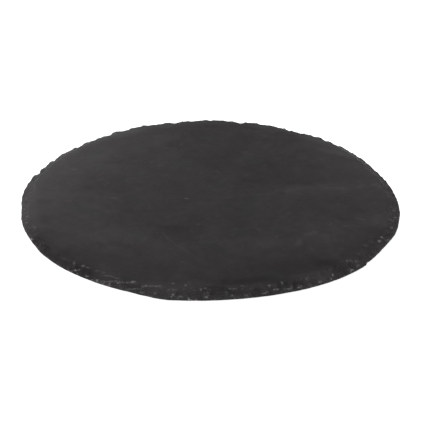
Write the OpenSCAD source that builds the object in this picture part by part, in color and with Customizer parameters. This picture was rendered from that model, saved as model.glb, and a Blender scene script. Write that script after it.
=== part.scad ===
// Round slate serving board: one slab of natural slate with a hand-dressed,
// chipped edge, standing on four self-adhesive foam feet.
// The origin is on the table under the middle of the board, +Z is up and
// -Y is the front. Azimuths run from +X (right) towards +Y (back).

/* [Slate] */
// Diameter of the board across its lower edge
board_d = 300; // [200:5:400]
// Thickness of the slate
slate_t = 5; // [4:0.5:8]
// Furthest that the hand-cut outline leaves the true circle
outline_wander = 2; // [0:0.25:4]

/* [Dressed edge] */
// Width of the chipped bevel seen from above, where it is full
bevel_w = 8; // [5:0.5:12]
// Height of the steep lip under the bevel
lip_h = 1.8; // [1:0.1:2.6]
// How far the top of the lip stands in from the lower edge
lip_lean = 0.7; // [0.2:0.1:1.5]
// Size of the worn arris along the lower edge
arris = 0.3; // [0.1:0.1:0.4]
// Length of one ordinary chip along the edge
chip_l = 12; // [9:0.5:24]
// How far an ordinary chip is hollowed into the top rim
rim_scallop = 1; // [0:0.1:2]
// How far an ordinary chip is hollowed into the lower edge
edge_scallop = 1; // [0:0.1:1.5]
// Depth of the large bites in the top rim
bite_depth = 3.4; // [0:0.1:4]

/* [Cleavage steps] */
// Thickness of the flakes that have left the top face
flake_t = 0.3; // [0.1:0.1:0.8]
// Length of the largest flake along the edge
flake_l = 84; // [40:2:100]
// How far the largest flake reaches in from the lower edge
flake_w = 30; // [20:1:40]

/* [Feet] */
// Diameter of a foam foot
foot_d = 20; // [12:1:30]
// Thickness of a foam foot
foot_t = 2; // [1:0.5:4]
// Distance of a foot's centre from the lower edge
foot_inset = 45; // [24:1:60]
// Thickness of the adhesive film on top of a foot
adhesive_t = 0.3; // [0.1:0.1:0.6]
// How far the adhesive film stays back from the foot's side
adhesive_inset = 0.5; // [0.2:0.1:1.5]

/* [Hidden] */

$fn = 96;
slate_colour = "#3b393a";
foam_colour = "#1c1c1d";
adhesive_colour = "#d8d2c0";

// Azimuths of the feet
front_left = 225;
front_right = 315;
back_right = 45;
back_left = 135;

// Height of the slate's underside above the table
slate_z = foot_t + adhesive_t;

// Chips go round the edge a whole number of times
chip_count = round(PI * board_d / chip_l);
// Points along one chip, from the ridge where it begins up to the next ridge
points_per_chip = 4;
point_count = chip_count * points_per_chip;
// How far each ridge strays from its even place, as a share of a chip
ridge_stray_shares = rands(-0.25, 0.25, chip_count, 11);
// How deep each chip is, as a share of the deepest
chip_depth_shares = rands(0.3, 1, chip_count, 12);
// How high the lip stands at each point, as a share of lip_h
lip_shares = rands(0.5, 1, point_count, 13);
// How far the deepest chip is hollowed below a straight bevel, as a share of
// the bevel's drop
hollow_share = 0.24;
// Where the two rings across the bevel lie, from the top rim to the lip
scar_ring_shares = [0.35, 0.7];

// The lower edge as it was cut: [azimuth, share of outline_wander]
outline_shares = [
    [0, 0], [6, -0.3], [14, -0.6], [20, -0.75], [23.5, -1.15], [26, -0.6],
    [34, -0.2], [40, 0.15], [43, 0.5], [45, 0.3], [49, 0.3], [52, 0.8],
    [57, 0.5], [67, 0.6], [75, 0.9], [94, 0.9], [98, 0.5], [106, 0.4],
    [113, 0.8], [118, 0.7], [125, 0.7], [129, 0.2], [139, -0.1], [161, -0.1],
    [163, 0.5], [172, 0.5], [178, 0.2], [186, -0.4], [193, 0],
    [209, 0.1], [213, 0.5], [222, 0.5], [232, 0], [247, -0.2], [252, 0.25],
    [258.5, 1], [261, 0.45], [265, 0.15], [270, -0.5], [277, -0.9],
    [292, -0.7], [297, -0.25], [304, 0.25], [312, 0.7], [319.5, 1],
    [321.5, 0.4], [330, -0.1], [334, -0.1], [340, 0.5], [344, 0.5],
    [348, 0.3], [355, 0.25], [360, 0]
];

// Where the bevel is narrow: [azimuth, share of bevel_w]
bevel_shares = [
    [0, 1], [50, 1], [65, 0.92], [125, 0.92], [135, 1], [170, 1],
    [185, 0.75], [200, 0.6], [228, 0.5], [236, 0.7], [250, 0.9], [262, 1],
    [305, 1.1], [340, 1.1], [360, 1]
];

// How strongly chips and bites mark the lower edge too: [azimuth, share]
edge_mark_shares = [
    [0, 0.1], [20, 0.2], [50, 0.3], [56, 0.7], [128, 0.8], [135, 1], [165, 1],
    [185, 0.3], [200, 0.1], [360, 0.1]
];
// How far a bite runs into the lower edge, as a share of its depth in the rim
edge_bite_share = 0.7;

// The large bites in the top rim: [azimuth, half width in degrees,
// share of bite_depth]
bites = [
    [23.5, 4, 0.5], [59, 2.6, 0.7], [62.8, 2, 0.5], [72.5, 2.2, 0.3],
    [79.8, 3, 1], [97, 2.6, 0.25], [101.8, 3, 0.85], [109, 2.4, 0.4],
    [120.5, 3.4, 0.75], [127, 2.6, 0.6], [133.5, 2.4, 0.3], [161, 3, 0.4],
    [184, 4, 0.4], [204, 3, 0.25], [247, 3, 0.3], [265.5, 4, 0.8],
    [283, 5, 0.4], [301, 3, 0.3], [321, 4, 0.6], [352, 4, 0.4]
];

// The flakes that have left the top face: [azimuth, share of flake_l,
// share of flake_w, share of flake_t]
flakes = [
    [286, 1, 1, 1], [226, 0.8, 1, 0.8], [322, 0.5, 0.7, 1],
    [38, 0.7, 0.6, 0.7], [110, 0.6, 0.6, 1], [160, 0.7, 0.7, 0.8]
];
// Points along the inner side of a flake
flake_points = 24;
// How much a flake's inner side waves about a plain arc, and the two waves'
// turns along half of that side
flake_wave_share = 0.18;
flake_wave_turns = [1.2, 0.5];
// Where each flake's two waves begin, in degrees
flake_wave_starts = rands(0, 360, 2 * len(flakes), 14);

// How far a cut runs past what it cuts
overrun = 2;

// Azimuth of the ridge where chip k begins
function ridge_azimuth(k) =
    (k + ridge_stray_shares[k % chip_count]) * 360 / chip_count;

// Azimuth of point i round the edge
function edge_azimuth(i) =
    let (
        k = floor(i / points_per_chip),
        u = (i % points_per_chip) / points_per_chip,
        azimuth = (1 - u) * ridge_azimuth(k) + u * ridge_azimuth(k + 1)
    )
    (azimuth + 360) % 360;

// How far the large bites run into the top rim at an azimuth
function bite_at(azimuth) = bite_depth * max([
    for (b = bites)
        b[2] * (1 + cos(180 * min(1, abs(azimuth - b[0]) / b[1]))) / 2
]);

// One section through the edge at point i, from the top rim down to the
// underside: [distance from the axis, height above the underside]
function edge_section(i) =
    let (
        k = floor(i / points_per_chip),
        u = (i % points_per_chip) / points_per_chip,
        azimuth = edge_azimuth(i),
        // 0 on the ridges between chips, more in the hollow of a deep chip
        scar = chip_depth_shares[k] * (1 - pow(2 * u - 1, 2)),
        bite = bite_at(azimuth),
        mark = lookup(azimuth, edge_mark_shares),
        edge_r = board_d / 2
            + outline_wander * lookup(azimuth, outline_shares)
            - mark * (edge_scallop * scar + edge_bite_share * bite),
        rim_r = edge_r - bevel_w * lookup(azimuth, bevel_shares)
            - rim_scallop * scar - (1 - mark * edge_bite_share) * bite,
        lip_r = edge_r - lip_lean,
        lip_z = lip_h * lip_shares[i],
        drop = slate_t - lip_z,
        hollow = hollow_share * drop * scar
    )
    concat(
        [[rim_r, slate_t]],
        [
            for (s = scar_ring_shares)
                [
                    rim_r + s * (lip_r - rim_r),
                    slate_t - s * drop - 4 * s * (1 - s) * hollow
                ]
        ],
        [[lip_r, lip_z], [edge_r, arris], [edge_r - arris, 0]]
    );

// The slab before any flake has left it: rings of points from the top rim to
// the underside, closed by a fan of faces from the middle of each side
module dressed_slab() {
    sections = [for (i = [0 : point_count - 1]) edge_section(i)];
    rings = len(sections[0]);
    points = concat(
        [
            for (i = [0 : point_count - 1], p = sections[i])
                [
                    p[0] * cos(edge_azimuth(i)),
                    p[0] * sin(edge_azimuth(i)),
                    p[1]
                ]
        ],
        [[0, 0, slate_t], [0, 0, 0]]
    );
    top_middle = len(points) - 2;
    under_middle = len(points) - 1;
    function at(i, ring) = (i % point_count) * rings + ring;
    polyhedron(points, concat(
        [
            for (i = [0 : point_count - 1], ring = [0 : rings - 2])
                [at(i, ring), at(i, ring + 1), at(i + 1, ring)]
        ],
        [
            for (i = [0 : point_count - 1], ring = [0 : rings - 2])
                [at(i + 1, ring), at(i, ring + 1), at(i + 1, ring + 1)]
        ],
        [for (i = [0 : point_count - 1]) [top_middle, at(i, 0), at(i + 1, 0)]],
        [
            for (i = [0 : point_count - 1])
                [under_middle, at(i + 1, rings - 1), at(i, rings - 1)]
        ]
    ));
}

// The room left by flake i: an arc that runs in from the edge, cut down from
// above the top face
module flake_room(i) {
    length = flake_l * flakes[i][1];
    width = flake_w * flakes[i][2];
    depth = flake_t * flakes[i][3];
    edge_x = board_d / 2;
    outer_x = edge_x + outline_wander + overrun;
    inner_side = [
        for (n = [0 : flake_points])
            let (
                s = 2 * n / flake_points - 1,
                wave = 1 + flake_wave_share * (
                    sin(360 * flake_wave_turns[0] * s + flake_wave_starts[2 * i])
                    + sin(360 * flake_wave_turns[1] * s + flake_wave_starts[2 * i + 1])
                )
            )
            [edge_x - width * (1 - s * s) * wave, s * length / 2]
    ];
    rotate(flakes[i][0])
        translate([0, 0, slate_t - depth])
            linear_extrude(depth + overrun)
                polygon(concat(
                    [[outer_x, -length / 2]],
                    inner_side,
                    [[outer_x, length / 2]]
                ));
}

// The slab of slate, with its flat underside on the adhesive films
module slate_slab() {
    color(slate_colour)
        translate([0, 0, slate_z])
            difference() {
                dressed_slab();
                for (i = [0 : len(flakes) - 1])
                    flake_room(i);
            }
}

// Places its children on the vertical line through a foot's middle
module at_foot(azimuth) {
    rotate(azimuth)
        translate([board_d / 2 - foot_inset, 0, 0])
            children();
}

// A die-cut disc of closed-cell foam
module foot(azimuth) {
    color(foam_colour)
        at_foot(azimuth)
            cylinder(d = foot_d, h = foot_t);
}

// The film of adhesive between a foot and the slate
module adhesive(azimuth) {
    color(adhesive_colour)
        at_foot(azimuth)
            translate([0, 0, foot_t])
                cylinder(d = foot_d - 2 * adhesive_inset, h = adhesive_t);
}

slate_slab();
foot(front_left);  // foot_front_left
foot(front_right);  // foot_front_right
foot(back_right);  // foot_back_right
foot(back_left);  // foot_back_left
adhesive(front_left);  // adhesive_front_left
adhesive(front_right);  // adhesive_front_right
adhesive(back_right);  // adhesive_back_right
adhesive(back_left);  // adhesive_back_left
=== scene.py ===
"""A round slate serving board on a plain white studio table.

Lengths are in metres, +Z is up and the camera looks along +Y. Azimuths run from +X
(right) towards +Y (back). The slab is one modelled mesh. Its outline and its bevel
follow the fixed frame, apart from small bites and bulges of the edge, and the chips,
splinters and cleavage steps are carved here.
"""

import math

import bpy
import numpy as np
from mathutils import Matrix, Vector


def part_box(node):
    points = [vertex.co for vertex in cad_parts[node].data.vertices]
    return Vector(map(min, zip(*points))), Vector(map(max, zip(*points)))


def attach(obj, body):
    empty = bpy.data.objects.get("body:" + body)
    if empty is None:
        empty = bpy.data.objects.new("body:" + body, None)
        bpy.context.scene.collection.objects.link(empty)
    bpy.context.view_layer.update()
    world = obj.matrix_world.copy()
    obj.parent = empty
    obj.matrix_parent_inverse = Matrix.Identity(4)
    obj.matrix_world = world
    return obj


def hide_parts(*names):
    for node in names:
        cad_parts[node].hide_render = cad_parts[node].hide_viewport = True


MM = 0.001
SEED = 41

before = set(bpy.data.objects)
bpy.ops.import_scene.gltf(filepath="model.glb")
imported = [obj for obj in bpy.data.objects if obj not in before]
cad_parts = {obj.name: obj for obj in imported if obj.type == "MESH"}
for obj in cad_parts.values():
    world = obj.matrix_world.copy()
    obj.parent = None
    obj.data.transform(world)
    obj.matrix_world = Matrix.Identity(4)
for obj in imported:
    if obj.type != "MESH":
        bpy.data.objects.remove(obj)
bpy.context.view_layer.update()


# The photograph's view: the camera's height over the level and its roll, its distance
# from the board's middle, and how far it is moved to the right and up, across its view
VIEW_ELEVATION = math.radians(28.45)
VIEW_ROLL = math.radians(-0.47)
VIEW_DISTANCE = 1.3
VIEW_RIGHT = 4.12 * MM
VIEW_UP = -7.50 * MM
# Focal length and sensor width in mm, and the nearest and furthest distance that it sees
LENS = 136.79
SENSOR = 36.0
CLIP_NEAR, CLIP_FAR = 0.05, 50.0


def view_matrix():
    """The camera's matrix: it looks down from its elevation, aimed near the origin."""
    right = Vector((1, 0, 0))
    up = Vector((0, math.sin(VIEW_ELEVATION), math.cos(VIEW_ELEVATION)))
    back = Vector((0, -math.cos(VIEW_ELEVATION), math.sin(VIEW_ELEVATION)))
    turn = Matrix((right, up, back)).transposed().to_4x4()
    spot = right * VIEW_RIGHT + up * VIEW_UP + back * VIEW_DISTANCE
    return Matrix.Translation(spot) @ turn @ Matrix.Rotation(-VIEW_ROLL, 4, "Z")


def place_camera():
    """The camera, where it took the photograph."""
    data = bpy.data.cameras.new("camera")
    data.lens = LENS
    data.sensor_width = SENSOR
    data.clip_start = CLIP_NEAR
    data.clip_end = CLIP_FAR
    camera = bpy.data.objects.new("camera", data)
    camera.matrix_world = view_matrix()
    bpy.context.scene.collection.objects.link(camera)
    bpy.context.scene.camera = camera


# Repeatable noise

# Factors of the hash, and the bits that it keeps
HASH_X, HASH_Y, HASH_SEED, HASH_MIX = 374761393, 668265263, 144269504, 1274126177
HASH_MASK = 0xFFFFFFFF
# Direction of the largest lumps, and the turn from one size to the next, in radians
FIRST_TURN, NEXT_TURN = 0.4, 1.1


def fade(t):
    """Eases a share from 0 to 1, with no bend at either end."""
    return t * t * t * (t * (t * 6 - 15) + 10)


def mix(a, b, t):
    return a + (b - a) * t


def smooth_step(low, high, v):
    t = np.clip((v - low) / (high - low), 0, 1)
    return t * t * (3 - 2 * t)


def lattice(ix, iy, seed):
    """A repeatable value from -1 to 1 at each whole-numbered point."""
    h = (ix * HASH_X + iy * HASH_Y + seed * HASH_SEED) & HASH_MASK
    h = ((h ^ (h >> 13)) * HASH_MIX) & HASH_MASK
    return ((h ^ (h >> 16)) & 0xFFFF) / 32767.5 - 1


def noise(x, y, size, seed):
    """Smooth noise from -1 to 1 whose lumps are about one size across."""
    u, v = x / size, y / size
    iu, iv = np.floor(u).astype(np.int64), np.floor(v).astype(np.int64)
    fu, fv = fade(u - iu), fade(v - iv)
    near = mix(lattice(iu, iv, seed), lattice(iu + 1, iv, seed), fu)
    far = mix(lattice(iu, iv + 1, seed), lattice(iu + 1, iv + 1, seed), fu)
    return mix(near, far, fv)


def fractal(x, y, size, octaves, seed, fall=0.5):
    """Noise in several sizes, each half the one before and turned from it."""
    total, weight, whole = 0.0, 1.0, 0.0
    for k in range(octaves):
        turn = NEXT_TURN * k + FIRST_TURN
        c, s = math.cos(turn), math.sin(turn)
        total = total + weight * noise(c * x - s * y, s * x + c * y, size / 2**k, seed + k)
        whole += weight
        weight *= fall
    return total / whole


def wandered(x, y, reach, size, octaves, seed, fall=0.5):
    """Points moved both ways by noise, by less than a reach."""
    moved_x = x + reach * fractal(x, y, size, octaves, seed, fall)
    moved_y = y + reach * fractal(x, y, size, octaves, seed + 10, fall)
    return moved_x, moved_y


def staircase(v, levels, sharp):
    """Pulls values towards the nearest of the sorted levels, more the sharper."""
    k = np.clip(np.searchsorted(levels, v) - 1, 0, len(levels) - 2)
    low, high = levels[k], levels[k + 1]
    f = (v - low) / (high - low)
    tread = np.clip(0.5 + (f - 0.5) * sharp, 0, 1)
    return np.where((f < 0) | (f > 1), v, low + (high - low) * tread * tread * (3 - 2 * tread))


# The slab's frame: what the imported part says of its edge

slab_low, slab_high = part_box("slate_slab")
UNDER_Z, TOP_Z = slab_low.z, slab_high.z

# Points round the edge
COLUMNS = 1920
azimuths = np.arange(COLUMNS) * 2 * math.pi / COLUMNS
cosines, sines = np.cos(azimuths), np.sin(azimuths)


def radius_at(height):
    """The slab's radius at a height, for every column round the edge."""
    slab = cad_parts["slate_slab"]
    reach = 2 * max(slab_high.x, slab_high.y)
    found = np.empty(COLUMNS)
    for j in range(COLUMNS):
        start = Vector((reach * cosines[j], reach * sines[j], height))
        hit, place, _, _ = slab.ray_cast(start, Vector((-cosines[j], -sines[j], 0)))
        found[j] = math.hypot(place.x, place.y) if hit else np.nan
    return found


# Heights at which the edge is read: on the lower edge, and twice under the rim
EDGE_READ = UNDER_Z + 0.31 * MM
RIM_READ = TOP_Z - 0.35 * MM
BEVEL_READ = TOP_Z - 1.0 * MM

edge_r = radius_at(EDGE_READ)
rim_read_r = radius_at(RIM_READ)
bevel_read_r = radius_at(BEVEL_READ)
# The rim lies on the bevel's line through the two readings
rim_r = rim_read_r - (bevel_read_r - rim_read_r) * (TOP_Z - RIM_READ) / (RIM_READ - BEVEL_READ)
MEAN_R = float(edge_r.mean())

# Carving the edge

# Height of the lip under a scar, and how much it varies
LIP_H = 1.5 * MM
LIP_SPREAD = 0.6 * MM
# Least height of the lip
LIP_LEAST = 0.45 * MM
# How far the lip leans out, from its top to the lower edge
LIP_LEAN = 0.6 * MM
# The lip's rings: share of the lean and share of the height that are left at each
LIP_PROFILE = [(0.62, 0.66), (0.3, 0.33), (0.0, 0.0)]
# Size of the worn arris along the lower edge, and how much more it is at most
ARRIS = 0.3 * MM
ARRIS_MORE = 0.8

# The chips are more even along the back: the share of their spread that is left there,
# and the sines of the azimuths between which they get so
BACK_SPREAD = 0.25
BACK_FROM, BACK_TO = -0.05, 0.35
# Ordinary chips: least half length, then the least and the most of what is drawn for
# each: stretch, hollowness, lift and skew
CHIP_HALF = 2.5 * MM
CHIP_STRETCH = (0.9, 1.15)
CHIP_HOLLOW = (1.05, 1.7)
CHIP_LIFT = (0.2, 1.6)
CHIP_SKEW = (-0.1, 0.1)
# How far the lip lifts towards a scar's ends, as a share of the bevel's height
SCAR_LIFT = 0.22
# How far a scar is followed to each side, in half lengths: along the rim and the edge
RIM_REACH, EDGE_REACH = 2.2, 2.0

# Small scars along the rim: how many, then half length, depth and distance in from the
# rim, least and most in mm
RIM_SPALLS = 170
RIM_SPALL_SIZE = (1.0, 3.4)
RIM_SPALL_DEPTH = (0.15, 0.6)
RIM_SPALL_IN = (-1.4, 0.8)
# Their width as a share of their length, and how steeply they open outwards
RIM_SPALL_WIDTH = 0.7
RIM_SPALL_SLOPE = 0.3
# Small scars along the lower edge: how many, then half length, height over the
# underside and rise, least and most in mm
EDGE_SPALLS = 200
EDGE_SPALL_SIZE = (1.2, 4.0)
EDGE_SPALL_LOW = (0.5, 1.3)
EDGE_SPALL_RISE = (0.6, 1.5)

# Layers that the slate splits into: how many, height of the first over the underside,
# thinnest and thickest, how sharp their steps are and how far the layers wander, and
# the share of the steps that shows where it splits badly and where it splits well
LAYERS = 12
LAYER_FIRST = 0.2 * MM
LAYER_THIN, LAYER_THICK = 0.45 * MM, 1.25 * MM
LAYER_SHARP = 2.6
LAYER_WANDER = 0.25 * MM
LAYERS_LEAST, LAYERS_MOST = 0.15, 0.90
# Roughness of the scars, of the outline and of the lip: lump size and height
SCAR_ROUGH = (2.2 * MM, 0.03 * MM)
EDGE_ROUGH = (5 * MM, 0.22 * MM)
LIP_ROUGH = (1.6 * MM, 0.09 * MM)
# Where the edge is least chipped: azimuth in degrees, and the share of its relief lost
CALM_AT = [(42, 0.7), (137, 0.5)]

# Where the edge lies further in than the frame, or out if negative: azimuth in degrees,
# half length in mm, depth in mm
BITES = [
    (19.5, 3.0, 0.7), (23.5, 4.0, -0.3), (51.5, 3.5, -0.8), (55, 4.0, 0.8), (61, 8.0, 0.7),
    (64.5, 2.5, 0.7), (76, 5.0, -1.0), (96.5, 6.5, -1.1), (116, 6.5, -1.1), (126, 3.0, 1.2),
    (132, 6.0, 0.7), (138, 5.0, 1.5), (145.5, 4.0, -0.8), (151, 3.0, 0.6), (158, 3.5, -0.9),
    (163, 3.0, 0.4), (320.2, 1.0, -0.5), (321.8, 1.6, 0.5),
]

# The band of the top that is carved: its rings, its inner side, and how they crowd
# towards the edge, where 1 is not at all
BAND_RINGS = 26
BAND_INNER_R = 136 * MM
BAND_CROWDING = 0.85

# Side of the photograph in pixels
PHOTO_SIDE = 430
# Half width of the crushed spots and painted glints, which are wider where they are short
SPOT_WIDTH = 0.42 * MM
# Light spots on the dressed edge where the photograph shows them, partly crushed stone and
# partly painted glints: pixels across and down from its upper left corner, half length in mm,
# strength
SPOTS_SEEN = [
    (26.4, 216.6, 1.5, 1), (26.8, 222.8, 2, 0.5), (31.6, 239.2, 1.8, 0.9),
    (32.2, 186.9, 2.4, 0.8), (32.7, 226.4, 3, 0.5), (37.5, 178.8, 2, 0.7),
    (70.1, 152.6, 2.6, 0.5), (73.9, 261.7, 0.8, 0.3), (73.9, 270.2, 1.4, 0.6),
    (74.2, 264.7, 0.9, 0.5), (76.7, 270.6, 2.6, 1), (82.8, 265.9, 1, 0.6),
    (86.7, 276.2, 1.8, 0.6), (87.8, 267.5, 2, 0.7), (96.7, 280.6, 1.6, 0.6),
    (97.8, 270.9, 1.8, 0.5), (103, 282.8, 3, 0.35), (103.3, 272.8, 1.2, 0.3),
    (108.3, 284.6, 1.4, 0.5), (112, 281, 6.5, 0.4), (118.3, 278.3, 1.6, 0.4),
    (118.3, 282.2, 1.2, 0.5), (126.7, 290.2, 1.4, 0.5), (133.3, 281.4, 1.6, 0.5),
    (142.2, 292.5, 1.8, 0.7), (145, 286.1, 1.6, 0.5), (155, 292.8, 1, 0.5),
    (155.5, 286.1, 2.6, 0.9), (160, 286.1, 1.4, 0.6), (168.9, 289.7, 2.4, 0.4),
    (170, 282.2, 1.2, 0.6), (172.8, 283.3, 1.2, 0.5), (173, 294.8, 1.6, 0.7),
    (174.4, 289.4, 1.6, 0.4), (174.4, 296.6, 3, 1), (180.6, 297, 2, 0.8),
    (186.1, 285, 1.2, 0.6), (189.4, 297.8, 1.4, 0.5), (190.5, 284.2, 1.6, 0.3),
    (200.6, 289, 0.8, 0.4), (205.6, 288.3, 1.2, 0.4), (205.6, 297.4, 1.8, 0.8),
    (207.8, 294.4, 1, 0.4), (226.1, 293.6, 1, 0.5), (232.2, 296, 1.6, 0.8),
    (233.3, 288.7, 2.6, 1), (242.2, 286.1, 1.2, 0.3), (246.1, 294.8, 1.6, 0.4),
    (265, 293.3, 2.4, 0.5), (269.4, 285.8, 1.4, 0.6), (276.1, 289.2, 2.2, 0.9),
    (281.7, 282.4, 1, 0.5), (288.3, 288.8, 2.8, 0.5), (300.5, 286.9, 2.6, 0.5),
    (307.2, 279.1, 1.2, 0.6), (310, 285.2, 1.2, 0.4), (320.6, 281.9, 1.4, 0.5),
    (330.6, 278.9, 1.2, 0.9), (333.3, 275, 1, 0.5), (347.2, 261.1, 1.2, 0.5),
    (350, 271.2, 1.4, 0.6), (351.1, 261.1, 1, 0.4), (351.7, 269.6, 2, 0.9),
    (356.7, 260.9, 1.4, 0.9), (358.3, 265.7, 1.4, 0.5), (370.5, 256.7, 1.2, 0.3),
    (379.4, 241.4, 1.6, 0.7), (382.2, 237.8, 1.2, 0.9), (387.3, 240, 1.4, 0.5),
    (388.3, 231.7, 1.6, 0.4), (390.8, 227.8, 1.7, 0.7),
]
# More of them, placed on the slab: azimuth in degrees, radius in mm, half length in
# mm, strength
SPOTS_PLACED = [
    (183, 147.6, 2.4, 0.6), (187, 146.5, 2, 0.5), (240, 142.9, 5.5, 0.4),
    (246, 143.6, 6.5, 0.45), (248.3, 147, 6, 0.35), (253.4, 143, 7, 0.45),
    (347, 144.6, 1.2, 0.5), (350, 147, 1.6, 0.6), (354, 145.5, 2, 0.7),
    (158, 145, 2.4, 0.5), (137, 144, 3, 0.5), (124, 144.6, 2.6, 0.4),
    (53.5, 144.4, 2.6, 0.6), (49, 145.6, 2, 0.5), (44.5, 144.6, 2.4, 0.45),
]
# Heights at which a line of sight is looked at, from over the top to the underside
SIGHT_HEIGHTS = np.arange(TOP_Z + 0.7 * MM, UNDER_Z, -0.01 * MM)


def columns_near(centre, half):
    """The columns within half (radians) of an azimuth, and how far each is from it."""
    reach = int(math.ceil(half / (2 * math.pi) * COLUMNS))
    middle = int(round(centre / (2 * math.pi) * COLUMNS))
    picked = np.arange(middle - reach, middle + reach + 1)
    offset = picked * 2 * math.pi / COLUMNS - centre
    return picked % COLUMNS, offset


def calm(azimuth):
    """Share of the edge's relief that is lost at an azimuth."""
    return sum(s * np.cos(azimuth - math.radians(at)).clip(0) ** 8 for at, s in CALM_AT)


def bites():
    """How far the edge lies inside the frame's edge, for every column."""
    depths = np.zeros(COLUMNS)
    for azimuth, length, depth in BITES:
        half = length * MM / MEAN_R
        picked, offset = columns_near(math.radians(azimuth), 2.5 * half)
        depths[picked] += depth * MM * np.exp(-((offset / half) ** 2))
    return depths


def chip_centres():
    """Each ordinary chip: its column and its half length, from the rim's hollows."""
    kernel = np.ones(3) / 3
    soft = np.convolve(np.concatenate([rim_r[-1:], rim_r, rim_r[:1]]), kernel, "valid")
    before, after = np.roll(soft, 1), np.roll(soft, -1)
    hollows = np.nonzero((soft < before) & (soft <= after))[0]
    crests = np.nonzero((soft > before) & (soft >= after))[0]
    chips = []
    for j in hollows:
        ahead = (crests - j) % COLUMNS
        behind = (j - crests) % COLUMNS
        half = (ahead.min() + behind.min()) / 2 * 2 * math.pi / COLUMNS * MEAN_R
        chips.append((j, half))
    return chips


def carve_chips(heights, depth_in, bevel_width, rng):
    """The ordinary chips, which make the bevel between the rim and the lip."""
    for j, half in chip_centres():
        half = max(half, CHIP_HALF) * rng.uniform(*CHIP_STRETCH)
        uneven = mix(1, BACK_SPREAD, smooth_step(BACK_FROM, BACK_TO, sines[j]))
        lip = UNDER_Z + LIP_H + LIP_SPREAD * rng.uniform(-1, 1) * uneven
        hollow = rng.uniform(*CHIP_HOLLOW)
        lift = SCAR_LIFT * rng.uniform(*CHIP_LIFT) * uneven
        skew = rng.uniform(*CHIP_SKEW)
        picked, offset = columns_near(azimuths[j], RIM_REACH * half / MEAN_R)
        along = (offset * MEAN_R / half)[:, None]
        inward = depth_in[picked] / bevel_width[picked, None]
        lower = (1 - inward).clip(0)
        rise = inward**hollow + (lift * along**2 + skew * along) * lower
        heights[picked] = np.minimum(heights[picked], lip + (TOP_Z - lip) * rise)


def carve_rim(heights, depth_in, bevel_width, rng):
    """Small shallow bowls along the rim, which open outwards."""
    for _ in range(RIM_SPALLS):
        centre = rng.uniform(0, 2 * math.pi)
        size = rng.uniform(*RIM_SPALL_SIZE) * MM
        deep = rng.uniform(*RIM_SPALL_DEPTH) * MM * (1 - calm(centre))
        picked, offset = columns_near(centre, RIM_REACH * size / MEAN_R)
        rim_in = float(np.interp(centre, azimuths, bevel_width))
        middle = rim_in + rng.uniform(*RIM_SPALL_IN) * MM
        along = (offset * MEAN_R / size)[:, None]
        across = (depth_in[picked] - middle) / (RIM_SPALL_WIDTH * size)
        slope = RIM_SPALL_SLOPE * (middle - depth_in[picked]).clip(0)
        bowl = TOP_Z - deep * (1 - 0.5 * (along**2 + across**2)) - slope
        heights[picked] = np.minimum(heights[picked], bowl)


def carve_edge(heights, depth_in, rng):
    """Small bowls along the lower edge."""
    for _ in range(EDGE_SPALLS):
        centre = rng.uniform(0, 2 * math.pi)
        size = rng.uniform(*EDGE_SPALL_SIZE) * MM
        lip = UNDER_Z + rng.uniform(*EDGE_SPALL_LOW) * MM
        steep = rng.uniform(*EDGE_SPALL_RISE) * MM
        picked, offset = columns_near(centre, EDGE_REACH * size / MEAN_R)
        along = (offset * MEAN_R / size)[:, None]
        inward = depth_in[picked] / size
        bowl = lip + steep * (inward**2 + along**2)
        heights[picked] = np.minimum(heights[picked], bowl)


def sight_line(across, down):
    """Where the line of sight through a pixel of the photograph is, at SIGHT_HEIGHTS."""
    view, middle, pixel = view_matrix(), PHOTO_SIDE / 2, SENSOR / LENS / PHOTO_SIDE
    offset = Vector(((across - middle) * pixel, (middle - down) * pixel, -1))
    start, way = view.translation, view.to_3x3() @ offset
    gone = (SIGHT_HEIGHTS - start.z) / way.z
    return start.x + gone * way.x, start.y + gone * way.y


def spots_seen(radii, heights):
    """SPOTS_SEEN in the form of SPOTS_PLACED, where the lines of sight meet the band."""
    spots = []
    for across, down, length, amount in SPOTS_SEEN:
        x, y = sight_line(across, down)
        turn, radius = np.arctan2(y, x) % (2 * math.pi), np.hypot(x, y)
        k = np.round(turn / (2 * math.pi) * COLUMNS).astype(int) % COLUMNS
        surface = [np.interp(*row, right=0) for row in zip(radius, radii[k], heights[k])]
        first = np.argmax(SIGHT_HEIGHTS < surface)
        spots.append((math.degrees(turn[first]), radius[first] / MM, length, amount))
    return spots


def crushed_and_glinting(x, y, heights, grit):
    """Strength of the crushed spots and painted glints; grit breaks them up, the long ones
    less.

    A spot points halfway between the X axis and the edge's own direction.
    """
    strength = np.zeros_like(x)
    spots = SPOTS_PLACED + spots_seen(np.hypot(x, y), heights)
    for azimuth, radius, length, amount in spots:
        turn = math.radians(azimuth)
        picked, _ = columns_near(turn, (1.6 * length + 1.5) * MM / MEAN_R)
        dx = x[picked] - radius * MM * math.cos(turn)
        dy = y[picked] - radius * MM * math.sin(turn)
        lean = math.radians((azimuth % 180 - 90) / 2)
        along = (dx * math.cos(lean) + dy * math.sin(lean)) / (length * MM)
        drift = 0.25 * MM * min(1, length / 5) * np.sin(3 * along + 7 * azimuth)
        width = SPOT_WIDTH * max(1, 3 / length)
        across = (dy * math.cos(lean) - dx * math.sin(lean) - drift) / width
        whole = np.clip((length - 3) / 4, 0, 0.6)
        spot = amount * np.exp(-(along**4) - across**2) * mix(grit[picked], 1, whole)
        strength[picked] = np.maximum(strength[picked], spot)
    return strength


def ridged(z):
    """How far each point of the band stands over its neighbours' mean."""
    beside = (np.roll(z, 1, 0) + np.roll(z, -1, 0) + np.roll(z, 2, 0) + np.roll(z, -2, 0)) / 4
    inner = np.concatenate([z[:, :1], z[:, :-1]], 1)
    outer = np.concatenate([z[:, 1:], 2 * z[:, -1:] - z[:, -2:-1]], 1)
    return z - (beside + inner + outer) / 3


# Relief of a riven face

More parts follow.
